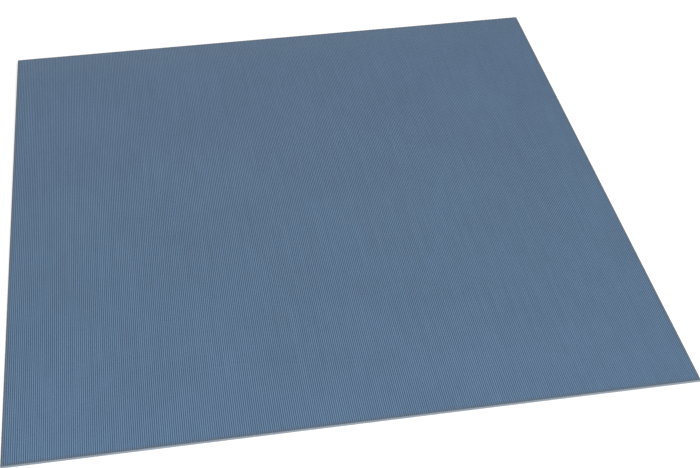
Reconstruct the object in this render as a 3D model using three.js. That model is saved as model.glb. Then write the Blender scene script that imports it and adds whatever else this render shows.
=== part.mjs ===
// Ribbed insulating rubber mat, laid flat on a level floor.
//
// The mat is one piece of moulded rubber, cut square from a roll. Its upper face has fine ribs that run from
// the front edge to the back edge, and its underside is flat.
//
// Frame: millimetres, +Z up. X runs across the ribs, Y along them. The origin is the middle of the underside.

import * as THREE from "three";

// Driving dimensions, in millimetres.
const MAT_WIDTH = 1000; // across the ribs, from one knife cut to the other
const MAT_LENGTH = 1000; // along the ribs
const BASE_THICKNESS = 3.7; // solid rubber under the grooves
const RIB_HEIGHT = 0.8; // from the groove floor to the crest
const RIB_PITCH = 2.96; // from one rib's middle to the next
const RIB_CREST_WIDTH = 1.3; // flat top of a rib
const RIB_FOOT_WIDTH = 2.1; // a rib where it meets the groove floor

// Rubber as the photograph shows it: a greyed blue, dull.
const RUBBER_COLOUR = "#5d758e";
const RUBBER_ROUGHNESS = 0.75;

// Ribs to either side of the middle one, as many as fit whole between the two cut edges.
function ribsBesideTheMiddle() {
  const roomForCentres = (MAT_WIDTH - RIB_FOOT_WIDTH) / 2;
  return Math.floor(roomForCentres / RIB_PITCH);
}

// One rib's outline, walked from its right foot over the crest to its left foot.
function addRib(section, middle) {
  const crestLevel = BASE_THICKNESS + RIB_HEIGHT;
  section.lineTo(middle + RIB_FOOT_WIDTH / 2, BASE_THICKNESS);
  section.lineTo(middle + RIB_CREST_WIDTH / 2, crestLevel);
  section.lineTo(middle - RIB_CREST_WIDTH / 2, crestLevel);
  section.lineTo(middle - RIB_FOOT_WIDTH / 2, BASE_THICKNESS);
}

// The mat's section across the ribs, walked counter-clockwise: along the underside, up the right cut edge,
// back over every rib, and down the left cut edge.
function matSection() {
  const edge = MAT_WIDTH / 2;
  const outermost = ribsBesideTheMiddle();
  const section = new THREE.Shape();
  section.moveTo(-edge, 0);
  section.lineTo(edge, 0);
  section.lineTo(edge, BASE_THICKNESS);
  for (let rib = outermost; rib >= -outermost; rib--) {
    addRib(section, rib * RIB_PITCH);
  }
  section.lineTo(-edge, BASE_THICKNESS);
  section.closePath();
  return section;
}

function rubber() {
  return new THREE.MeshStandardMaterial({
    color: RUBBER_COLOUR,
    roughness: RUBBER_ROUGHNESS,
    metalness: 0,
  });
}

// The section is drawn upright and drawn out along the ribs.
function insulatingMat() {
  const sheet = new THREE.ExtrudeGeometry(matSection(), {
    depth: MAT_LENGTH,
    bevelEnabled: false,
  });
  const mat = new THREE.Mesh(sheet, rubber());
  mat.name = "insulating_mat";
  mat.rotation.x = Math.PI / 2;
  mat.position.y = MAT_LENGTH / 2;
  return mat;
}

const part = new THREE.Group();
part.add(insulatingMat());

export default part;
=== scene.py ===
"""Looks of the ribbed insulating mat: one sheet of blue-grey rubber, knife-cut square, on a pale floor.

Metres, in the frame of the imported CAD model: X across the ribs, Y along them, Z up from the underside.
The section is worked out in millimetres, like the CAD source's, and turned into metres at the vertices.
"""

import math

import bpy
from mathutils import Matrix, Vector, noise


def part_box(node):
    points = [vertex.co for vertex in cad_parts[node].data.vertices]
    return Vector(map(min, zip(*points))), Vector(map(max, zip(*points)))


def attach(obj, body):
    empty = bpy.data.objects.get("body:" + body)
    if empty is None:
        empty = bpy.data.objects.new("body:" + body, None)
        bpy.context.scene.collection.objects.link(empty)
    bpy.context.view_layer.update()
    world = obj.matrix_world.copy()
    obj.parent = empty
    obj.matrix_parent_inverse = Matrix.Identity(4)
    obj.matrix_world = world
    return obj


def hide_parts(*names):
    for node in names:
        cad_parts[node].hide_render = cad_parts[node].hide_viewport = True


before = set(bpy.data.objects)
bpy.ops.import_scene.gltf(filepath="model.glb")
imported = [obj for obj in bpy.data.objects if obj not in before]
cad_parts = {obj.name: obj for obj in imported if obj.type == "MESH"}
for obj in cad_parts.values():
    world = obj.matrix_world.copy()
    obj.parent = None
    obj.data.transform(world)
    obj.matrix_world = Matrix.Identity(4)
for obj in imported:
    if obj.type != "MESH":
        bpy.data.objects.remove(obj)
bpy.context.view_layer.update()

MM = 0.001
CAD_NODE = "insulating_mat"

# The rib's section, in millimetres, as in the CAD source.
BASE_THICKNESS = 3.7
RIB_HEIGHT = 0.8
RIB_PITCH = 2.96
RIB_CREST_WIDTH = 1.3
RIB_FOOT_WIDTH = 2.1
CREST_LEVEL = BASE_THICKNESS + RIB_HEIGHT

# Half of the mat's width and length, in metres.
mat_low, mat_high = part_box(CAD_NODE)
HALF_WIDTH = (mat_high.x - mat_low.x) / 2
HALF_LENGTH = (mat_high.y - mat_low.y) / 2

# What moulding and cutting do to that section, in millimetres.
SHOULDER_RADIUS = 0.25  # a rib's two upper corners
FILLET_RADIUS = 0.2  # where a rib's side meets the groove floor
ARC_STEPS = 3  # straight pieces in each of those arcs
UPPER_WEAR = 0.14  # how far the knife's upper edge is worn back
LOWER_WEAR = 0.1  # and its lower edge
RIB_WANDER = 0.05  # how far a rib strays sideways along the mat
CREST_DIP = 0.05  # how far a crest dips below its full height
KNIFE_WANDER = 0.12  # how far a cut wanders inside the straight line
LENGTH_STEPS = 11  # pieces of each rib along the mat, between its two worn ends
SHARP_ANGLE = math.radians(35)  # edges that turn by more are shaded as sharp ones

# How slowly those departures change, in millimetres.
WANDER_ACROSS = 90  # a rib's wander, from rib to rib
WANDER_ALONG = 160  # and along one rib
DIP_ALONG = 70  # a crest's dip, along one rib
DIP_RIBS = 1.3  # and from rib to rib, in ribs
KNIFE_ALONG = 40  # a cut's wander, along the cut

# Which pattern of the noise each of them follows.
WANDER_PATTERN = 3.1
DIP_PATTERN = 8.4
SIDE_CUT_PATTERN = (5.5, 0.3)
END_CUT_PATTERN = (1.5, 7.7)

# The camera that the photograph's corners and edges give for a mat one metre square.
CAMERA_PLACE = (-0.22955, -1.62935, 1.37425)
CAMERA_LOOK = (0.11824, 0.73979, -0.66237)
CAMERA_LENS = 64.79  # millimetres, like the sensor's width
CAMERA_SENSOR = 36.0
CAMERA_SHIFT_X = 0.03165

# The studio, in metres and watts.
FLOOR_HALF = 40.0
FLOOR_BELOW = 0.0002  # a hair under the mat, so that the two never share a plane
WORLD_LIGHT = 0.8
LAMPS = {
    # name: place, size, power
    "softbox_right": ((4.0, 1.0, 3.6), 2.0, 77.0),
    "softbox_front": ((-0.2, -2.0, 1.7), 1.4, 40.0),
}

# Linear colours.
# The crest colour is the rubber on the crests; the groove colour is a darker copy of it, painted shade
# down in the grooves between the ribs.
CREST_COLOUR = (0.085, 0.156, 0.255, 1)
GROOVE_PAINTED_SHADE = (0.0295, 0.0685, 0.1275, 1)
RIM_COLOUR = (0.071, 0.093, 0.118, 1)
TALC_COLOUR = (0.30, 0.35, 0.39, 1)
CUT_COLOUR = (0.19, 0.228, 0.275, 1)
FILLER_COLOUR = (0.30, 0.335, 0.37, 1)
UNDERSIDE_COLOUR = (0.070, 0.118, 0.180, 1)
FLOOR_COLOUR = (0.98, 0.98, 0.98, 1)

# Sizes of the surface's finer marks, in metres.
GRAIN = 0.0004  # the moulded grain of the ribbed face
RIM_WIDTH = 0.006  # the handled, dusty rim along the cut edges
KNIFE_LINE = 0.00022  # one drag line of the knife
THREAD_PITCH = 0.0011  # the press cloth that leaves its weave on the underside

# Depths of the relief that is only shaded, in metres.
GRAIN_DEPTH = 0.00006
DRAG_DEPTH = 0.00006
CHATTER_DEPTH = 0.00004
FILLER_DEPTH = 0.00002
WEAVE_DEPTH = 0.00012

# Material slots on the mat's mesh.
UPPER, CUT, UNDER = range(3)

# Where the mat's faces lie on its UV map: the lowest and highest V of each region.
UNDER_REGION = (0.01, 0.25)
CUT_REGIONS = [(0.26 + 0.01 * side, 0.266 + 0.01 * side) for side in range(4)]
UPPER_REGION = (0.31, 0.99)

# The ribbed face's three kinds of strip, which are kept apart on the map. The ribs' height tells them
# apart: crests are above one share of it, grooves below another, and the ribs' sides in between.
CREST, SIDE, GROOVE = range(3)
CREST_FROM = 0.75
GROOVE_UP_TO = 0.25


# Section of the mat


def rounded(before, corner, after, radius):
    """The arc that takes the place of one corner of the section's line, as (x, z) points."""
    before, corner, after = Vector(before), Vector(corner), Vector(after)
    into = (corner - before).normalized()
    out = (after - corner).normalized()
    turn = into.angle(out)
    side = 1 if into.cross(out) > 0 else -1
    start = corner - into * radius * math.tan(turn / 2)
    middle = start + Vector((-into.y, into.x)) * radius * side
    arm = start - middle
    points = []
    for step in range(ARC_STEPS + 1):
        angle = side * turn * step / ARC_STEPS
        across = arm.x * math.cos(angle) - arm.y * math.sin(angle)
        up = arm.x * math.sin(angle) + arm.y * math.cos(angle)
        points.append((middle.x + across, middle.y + up))
    return points


def rib_points():
    """A rib's upper line from its left foot to its right foot, about x = 0."""
    foot, top = RIB_FOOT_WIDTH / 2, RIB_CREST_WIDTH / 2
    line = [
        (-RIB_PITCH / 2, BASE_THICKNESS),
        (-foot, BASE_THICKNESS),
        (-top, CREST_LEVEL),
        (top, CREST_LEVEL),
        (foot, BASE_THICKNESS),
        (RIB_PITCH / 2, BASE_THICKNESS),
    ]
    radii = [FILLET_RADIUS, SHOULDER_RADIUS, SHOULDER_RADIUS, FILLET_RADIUS]
    points = []
    for place, radius in enumerate(radii, start=1):
        points += rounded(line[place - 1], line[place], line[place + 1], radius)
    return points


def section(half_width):
    """The mat's upper and lower lines from left cut to right cut, and where each rib starts on both."""
    outermost = math.floor((half_width - RIB_FOOT_WIDTH / 2) / RIB_PITCH)
    worn_top = BASE_THICKNESS - UPPER_WEAR
    upper = [(-half_width, worn_top), (-half_width + UPPER_WEAR, BASE_THICKNESS)]
    lower = [(-half_width, LOWER_WEAR), (-half_width + LOWER_WEAR, 0.0)]
    starts = [(0, 0)]
    rib_line = rib_points()
    for rib in range(-outermost, outermost + 1):
        middle = rib * RIB_PITCH
        starts.append((len(upper), len(lower)))
        lower.append((middle + rib_line[0][0], 0.0))
        upper += [(middle + x, z) for x, z in rib_line]
    upper += [(half_width - UPPER_WEAR, BASE_THICKNESS), (half_width, worn_top)]
    lower += [(half_width - LOWER_WEAR, 0.0), (half_width, LOWER_WEAR)]
    starts.append((len(upper) - 1, len(lower) - 1))
    return upper, lower, starts


# Small departures from the drawn shape


def wave(*place):
    """Smooth noise from 0 to 1, always the same at one place."""
    return 0.5 + 0.5 * max(-1.0, min(1.0, noise.noise(place)))


def stations(half_length):
    """Each cross-section along the mat: its place, and whether it lies in a cut face."""
    inner = half_length - UPPER_WEAR
    made = [(-half_length, True)]
    for step in range(LENGTH_STEPS + 1):
        made.append((-inner + 2 * inner * step / LENGTH_STEPS, False))
    made.append((half_length, True))
    return made


def moulded(x, y, z, half_width, half_length, at_cut):
    """A vertex in metres, moved as the roll, the mould and the knife leave it, and never outwards."""
    rib = round(x / RIB_PITCH)
    if abs(x) < half_width - 2 * UPPER_WEAR:
        x += RIB_WANDER * (2 * wave(x / WANDER_ACROSS, y / WANDER_ALONG, WANDER_PATTERN) - 1)
    height = max(0.0, z - BASE_THICKNESS) / RIB_HEIGHT
    z -= CREST_DIP * height * wave(rib / DIP_RIBS, y / DIP_ALONG, DIP_PATTERN)
    if at_cut:
        z += LOWER_WEAR if z < BASE_THICKNESS / 2 else -UPPER_WEAR
    inwards_x = KNIFE_WANDER * wave(y / KNIFE_ALONG, *SIDE_CUT_PATTERN)
    inwards_y = KNIFE_WANDER * wave(x / KNIFE_ALONG, *END_CUT_PATTERN)
    x *= 1 - inwards_x / half_width
    y *= 1 - inwards_y / half_length
    return x * MM, y * MM, z * MM


# Mesh of the mat


def spread(value, region):
    """A share from 0 to 1 of a region of the UV map."""
    return region[0] + value * (region[1] - region[0])


def strip_of(first, second):
    """The kind of strip that a piece of the upper line, between two points, belongs to."""
    level = (first[1] + second[1]) / 2
    if level > BASE_THICKNESS + CREST_FROM * RIB_HEIGHT:
        return CREST
    if level > BASE_THICKNESS + GROOVE_UP_TO * RIB_HEIGHT:
        return SIDE
    return GROOVE


def unrolled(upper):
    """The U at both ends of each piece of the upper line. Strips of one kind lie side by side."""
    pieces = [(strip_of(*ends), math.dist(*ends)) for ends in zip(upper, upper[1:])]
    total = sum(length for strip, length in pieces)
    crests = sum(length for strip, length in pieces if strip == CREST)
    sides = sum(length for strip, length in pieces if strip == SIDE)
    reached = [0.0, crests, crests + sides]
    found = []
    for strip, length in pieces:
        start = reached[strip]
        reached[strip] += length
        found.append((start / total, reached[strip] / total))
    return found


class Sheet:
    """The mat's mesh in the making: vertices, faces, and each face's slot and places on the map."""

    def __init__(self, half_width, half_length):
        self.half_width, self.half_length = half_width, half_length
        self.upper, self.lower, self.starts = section(half_width)
        self.stations = stations(half_length)
        self.vertices, self.faces, self.slots, self.places = [], [], [], []
        self.add_vertices()
        self.add_upper()
        self.add_lower()
        self.add_sides()
        self.add_ends()

    def add_vertices(self):
        for y, at_cut in self.stations:
            for x, z in self.upper + self.lower:
                self.vertices.append(moulded(x, y, z, self.half_width, self.half_length, at_cut))

    def upper_at(self, station, point):
        """The vertex at a point of the upper line in one cross-section."""
        return station * (len(self.upper) + len(self.lower)) + point

    def lower_at(self, station, point):
        """The vertex at a point of the lower line in one cross-section."""
        return self.upper_at(station, len(self.upper) + point)

    def along(self, station):
        """A cross-section's share of the way from the front cut to the back cut."""
        return (self.stations[station][0] + self.half_length) / (2 * self.half_length)

    def across(self, x):
        """A place's share of the way from the left cut to the right cut."""
        return (x + self.half_width) / (2 * self.half_width)

    def add(self, corners, slot, places):
        self.faces.append(corners)
        self.slots.append(slot)
        self.places += places

    def add_strip(self, at, first, second, slot, us, region):
        """A row of four-sided faces along the mat, between two points of the section."""
        for station in range(len(self.stations) - 1):
            near, far = spread(self.along(station), region), spread(self.along(station + 1), region)
            corners = [at(station, first), at(station, second)]
            corners += [at(station + 1, second), at(station + 1, first)]
            self.add(corners, slot, [(us[0], near), (us[1], near), (us[1], far), (us[0], far)])

    def add_upper(self):
        for point, us in enumerate(unrolled(self.upper)):
            worn = point in (0, len(self.upper) - 2)
            self.add_strip(self.upper_at, point, point + 1, CUT if worn else UPPER, us, UPPER_REGION)

    def add_lower(self):
        for point in range(len(self.lower) - 1):
            us = (self.across(self.lower[point + 1][0]), self.across(self.lower[point][0]))
            self.add_strip(self.lower_at, point + 1, point, UNDER, us, UNDER_REGION)

    def add_sides(self):
        """The two cut faces that run along the ribs."""
        last_upper, last_lower = len(self.upper) - 1, len(self.lower) - 1
        for station in range(len(self.stations) - 1):
            near, far = self.along(station), self.along(station + 1)
            left = [self.lower_at(station, 0), self.upper_at(station, 0)]
            left += [self.upper_at(station + 1, 0), self.lower_at(station + 1, 0)]
            right = [self.upper_at(station, last_upper), self.lower_at(station, last_lower)]
            right += [self.lower_at(station + 1, last_lower), self.upper_at(station + 1, last_upper)]
            low, high = CUT_REGIONS[0]
            self.add(left, CUT, [(near, low), (near, high), (far, high), (far, low)])
            low, high = CUT_REGIONS[1]
            self.add(right, CUT, [(near, high), (near, low), (far, low), (far, high)])

    def add_ends(self):
        """The two cut faces across the ribs, with one face for each rib from groove to groove."""
        last = len(self.stations) - 1
        for start, stop in zip(self.starts, self.starts[1:]):
            top = range(stop[0], start[0] - 1, -1)
            bottom = range(start[1], stop[1] + 1)
            line = [self.upper[point] for point in top] + [self.lower[point] for point in bottom]
            for station, region in ((0, CUT_REGIONS[2]), (last, CUT_REGIONS[3])):
                corners = [self.upper_at(station, point) for point in top]
                corners += [self.lower_at(station, point) for point in bottom]
                places = [(self.across(x), spread(z / CREST_LEVEL, region)) for x, z in line]
                if station == last:
                    corners.reverse()
                    places.reverse()
                self.add(corners, CUT, places)


def mat_object(name, materials):
    """The whole mat as one closed mesh, as large as its CAD node."""
    sheet = Sheet(HALF_WIDTH / MM, HALF_LENGTH / MM)
    mesh = bpy.data.meshes.new(name)
    mesh.from_pydata(sheet.vertices, [], sheet.faces)
    for material in materials:
        mesh.materials.append(material)
    mesh.polygons.foreach_set("material_index", sheet.slots)
    places = mesh.uv_layers.new(name="OFBake", do_init=False)
    places.uv.foreach_set("vector", [number for place in sheet.places for number in place])
    mesh.shade_smooth()
    mesh.set_sharp_from_angle(angle=SHARP_ANGLE)
    mesh.update()
    mat = bpy.data.objects.new(name, mesh)
    bpy.context.scene.collection.objects.link(mat)
    return mat


# Materials


class Shading:
    """A material's nodes, made and joined by short calls.

    A value in a call is a number, a colour or another node's output.
    """

    def __init__(self, name):
        self.material = bpy.data.materials.new(name)
        self.material.use_nodes = True
        self.tree = self.material.node_tree
        self.shader = self.tree.nodes["Principled BSDF"]
        self.place = self.node("ShaderNodeTexCoord", output="Object")

    def feed(self, socket, value):
        """Joins an output to a socket, or sets the socket to a number or a colour."""
        if isinstance(value, bpy.types.NodeSocket):
            self.tree.links.new(value, socket)
        else:
            socket.default_value = value

    def node(self, kind, inputs=None, output=0, **settings):
        """A new node's output, by name or number."""
        made = self.tree.nodes.new(kind)
        for name, value in settings.items():
            setattr(made, name, value)
        for name, value in (inputs or {}).items():
            self.feed(made.inputs[name], value)
        return made.outputs[output]

    def surface(self, **values):
        """Feeds the shader's own sockets. An underscore stands for a space in a socket's name."""
        for name, value in values.items():
            self.feed(self.shader.inputs[name.replace("_", " ")], value)

    def axis(self, letter):
        """The place on the mat along X, Y or Z, in metres."""
        return self.node("ShaderNodeSeparateXYZ", {"Vector": self.place}, output=letter)

    def math(self, operation, first, second=0.0):
        """One or two values worked on by a Math node."""
        return self.node("ShaderNodeMath", {0: first, 1: second}, operation=operation)

    def product(self, *values):
        """The values multiplied."""
        found = values[0]
        for value in values[1:]:
            found = self.math("MULTIPLY", found, value)
        return found

    def ranged(self, value, start, end, at_start, at_end):
        """A value's way from start to end, turned into a way from at_start to at_end and held there."""
        inputs = {"Value": value, "From Min": start, "From Max": end}
        inputs.update({"To Min": at_start, "To Max": at_end})
        return self.node("ShaderNodeMapRange", inputs)

    def between(self, share, low, high):
        """A share from 0 to 1 of the way from low to high."""
        return self.ranged(share, 0.0, 1.0, low, high)

    def mixed(self, share, first, second):
        """A share from 0 to 1 of the way from the first colour to the second."""
        # A Mix node has its colours at sockets 6 and 7, and the mixed colour at output 2.
        return self.node("ShaderNodeMix", {0: share, 6: first, 7: second}, output=2, data_type="RGBA")

    def toned(self, colour, factor):
        """A colour made lighter or darker by a factor."""
        return self.node("ShaderNodeHueSaturation", {"Color": colour, "Value": factor})

    def scaled_place(self, size):
        """The place on the mat in units of size metres, or of (x, y, z) metres."""
        sizes = size if isinstance(size, tuple) else (size, size, size)
        scale = tuple(1 / length for length in sizes)
        return self.node("ShaderNodeMapping", {"Vector": self.place, "Scale": scale})

    def noise(self, size, detail=2.0, low=0.0, high=1.0):
        """Noise with patches of that size, from low to high."""
        inputs = {"Vector": self.scaled_place(size), "Scale": 1.0, "Detail": detail}
        # Nearly all of the node's noise lies between 0.3 and 0.7.
        return self.ranged(self.node("ShaderNodeTexNoise", inputs), 0.3, 0.7, low, high)

    def tone(self, size, swing, detail=2.0):
        """A factor that swings about 1 from patch to patch."""
        return self.noise(size, detail, 1 - swing, 1 + swing)

    def specks(self, cell, share, radius):
        """1 in small ragged specks, 0 between them.

        The surface is split into cells, and that share of them has a speck. Its radius, in cells, is a
        matter of luck: from 0.3 of the one given up to all of it.
        """
        inputs = {"Vector": self.scaled_place(cell), "Scale": 1.0}
        from_middle = self.node("ShaderNodeTexVoronoi", inputs, output="Distance")
        cell_colour = from_middle.node.outputs["Color"]
        luck = self.node("ShaderNodeSeparateColor", {"Color": cell_colour}, output="Red")
        chosen = self.math("LESS_THAN", luck, share)
        reach = self.ranged(luck, 0.0, share, radius, 0.3 * radius)
        ragged = self.product(from_middle, self.tone(0.3 * cell, swing=0.5))
        inside = self.math("DIVIDE", ragged, reach)
        return self.product(chosen, self.ranged(inside, 1.0, 0.6, 0.0, 1.0))

    def bump(self, height, depth, normal=None):
        """The normal of a relief as deep as that, laid over another relief's normal."""
        inputs = {"Height": height, "Distance": depth, "Strength": 1.0}
        if normal:
            inputs["Normal"] = normal
        return self.node("ShaderNodeBump", inputs)


def height_on_rib(look):
    """0 on the groove floor, 1 on the crest."""
    return look.ranged(look.axis("Z"), BASE_THICKNESS * MM, (CREST_LEVEL - CREST_DIP) * MM, 0.0, 1.0)


def near_cut(look):
    """1 at a cut edge of the ribbed face, 0 from a rim's width inwards, with a ragged border."""
    from_side = look.math("SUBTRACT", HALF_WIDTH, look.math("ABSOLUTE", look.axis("X")))
    from_end = look.math("SUBTRACT", HALF_LENGTH, look.math("ABSOLUTE", look.axis("Y")))
    from_cut = look.math("MINIMUM", from_side, from_end)
    ragged = look.product(from_cut, look.tone(size=0.004, swing=0.4))
    return look.ranged(ragged, 0.0, RIM_WIDTH, 1.0, 0.0)


def upper_rubber():
    """Dull blue-grey rubber, with painted shade that makes it darker in the grooves, and the streaks,
    grain and talc of its moulding.
    """
    look = Shading("rubber_ribbed_face")
    height = height_on_rib(look)
    clouds = look.tone(size=0.16, swing=0.04, detail=3.0)
    streaks = look.tone(size=(0.003, 0.22, 1.0), swing=0.06)
    patches = look.tone(size=(0.02, 0.05, 1.0), swing=0.03)
    grain = look.noise(GRAIN, detail=3.0)
    speckle = look.between(grain, low=0.86, high=1.14)
    # Painted shade: the colour goes from the crest colour down to the darker groove colour the lower a
    # point lies on a rib.
    rubber = look.mixed(height, GROOVE_PAINTED_SHADE, CREST_COLOUR)
    rubber = look.toned(rubber, look.product(clouds, streaks, patches, speckle))
    dusting = look.noise(0.02, low=0.05, high=0.4)
    talc = look.product(look.specks(cell=0.0008, share=0.25, radius=0.25), dusting)
    rubber = look.mixed(talc, rubber, TALC_COLOUR)
    rubber = look.mixed(near_cut(look), rubber, RIM_COLOUR)
    worn_smooth = look.product(height, 0.1)
    rough = look.math("SUBTRACT", look.noise(0.006, low=0.66, high=0.78), worn_smooth)
    look.surface(Base_Color=rubber, Roughness=rough, Normal=look.bump(grain, GRAIN_DEPTH))
    look.surface(Sheen_Weight=0.15, Sheen_Roughness=0.4)
    return look.material


def cut_rubber():
    """The rubber's paler inside, where the knife went through: specks of filler and the blade's drag."""
    look = Shading("rubber_knife_cut")
    drag = look.noise(size=(0.03, 0.03, KNIFE_LINE), detail=3.0)
    chatter = look.noise(size=(0.0012, 0.0012, 0.02), detail=2.0)
    filler = look.specks(cell=0.0005, share=0.5, radius=0.4)
    tone = look.product(look.tone(size=0.09, swing=0.05), look.between(drag, low=0.9, high=1.08))
    tone = look.product(tone, look.between(chatter, low=0.96, high=1.04))
    rubber = look.toned(CUT_COLOUR, tone)
    rubber = look.mixed(look.product(filler, 0.6), rubber, FILLER_COLOUR)
    rough = look.between(drag, low=0.78, high=0.9)
    normal = look.bump(drag, DRAG_DEPTH)
    normal = look.bump(chatter, CHATTER_DEPTH, normal)
    normal = look.bump(filler, FILLER_DEPTH, normal)
    look.surface(Base_Color=rubber, Roughness=rough, Normal=normal)
    return look.material


def cloth_imprint(look):
    """The weave of the press cloth: 0 between its threads, 1 on top of them."""
    swings = []
    for letter in "XY":
        turn = look.math("MULTIPLY", look.axis(letter), math.pi / THREAD_PITCH)
        swings.append(look.math("SINE", turn))
    over = look.math("GREATER_THAN", look.product(*swings), 0.0)
    warp, weft = (look.math("ABSOLUTE", swing) for swing in swings)
    # A Mix node has its two plain numbers at sockets 2 and 3.
    return look.node("ShaderNodeMix", {0: over, 2: warp, 3: weft})


def under_rubber():
    """The flat underside, with the press cloth's weave, painted shade between its threads, and the talc
    that lets the roll come apart.
    """
    look = Shading("rubber_underside")
    weave = cloth_imprint(look)
    tone = look.product(look.tone(size=0.12, swing=0.06, detail=3.0), look.tone(size=0.002, swing=0.06))
    # Painted shade: darker between the threads of the weave, in its hollows.
    tone = look.product(tone, look.between(weave, low=0.75, high=1.08))
    rubber = look.toned(UNDERSIDE_COLOUR, tone)
    dusted = look.product(look.noise(size=(0.07, 0.2, 1.0), detail=4.0, low=0.0, high=0.3), weave)
    rubber = look.mixed(dusted, rubber, TALC_COLOUR)
    rough = look.noise(0.01, low=0.7, high=0.82)
    look.surface(Base_Color=rubber, Roughness=rough, Normal=look.bump(weave, WEAVE_DEPTH))
    return look.material


def floor_paint():
    """Near-white studio floor."""
    look = Shading("studio_floor")
    colour = look.toned(FLOOR_COLOUR, look.tone(size=0.8, swing=0.01))
    look.surface(Base_Color=colour, Roughness=look.noise(0.3, low=0.55, high=0.65))
    return look.material


# The studio


def studio_floor():
    corners = [(-1, -1), (1, -1), (1, 1), (-1, 1)]
    mesh = bpy.data.meshes.new("floor")
    vertices = [(x * FLOOR_HALF, y * FLOOR_HALF, -FLOOR_BELOW) for x, y in corners]
    mesh.from_pydata(vertices, [], [(0, 1, 2, 3)])
    mesh.materials.append(floor_paint())
    floor = bpy.data.objects.new("floor", mesh)
    bpy.context.scene.collection.objects.link(floor)


def studio_light():
    world = bpy.data.worlds.new("studio")
    world.use_nodes = True
    sky = world.node_tree.nodes["Background"]
    sky.inputs["Color"].default_value = (1, 1, 1, 1)
    sky.inputs["Strength"].default_value = WORLD_LIGHT
    bpy.context.scene.world = world
    for name, (place, size, power) in LAMPS.items():
        data = bpy.data.lights.new(name, "AREA")
        data.shape = "SQUARE"
        data.size = size
        data.energy = power
        lamp = bpy.data.objects.new(name, data)
        lamp.location = place
        lamp.rotation_euler = (-Vector(place)).to_track_quat("-Z", "Y").to_euler()
        bpy.context.scene.collection.objects.link(lamp)


def studio_camera():
    data = bpy.data.cameras.new("camera")
    data.sensor_width = CAMERA_SENSOR
    data.lens = CAMERA_LENS
    data.shift_x = CAMERA_SHIFT_X
    camera = bpy.data.objects.new("camera", data)
    camera.location = CAMERA_PLACE
    camera.rotation_euler = Vector(CAMERA_LOOK).to_track_quat("-Z", "Y").to_euler()
    bpy.context.scene.collection.objects.link(camera)
    bpy.context.scene.camera = camera


mat = mat_object("mat", [upper_rubber(), cut_rubber(), under_rubber()])
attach(mat, "root")
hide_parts(CAD_NODE)

studio_floor()
studio_light()
studio_camera()
bpy.context.scene.view_settings.view_transform = "Standard"
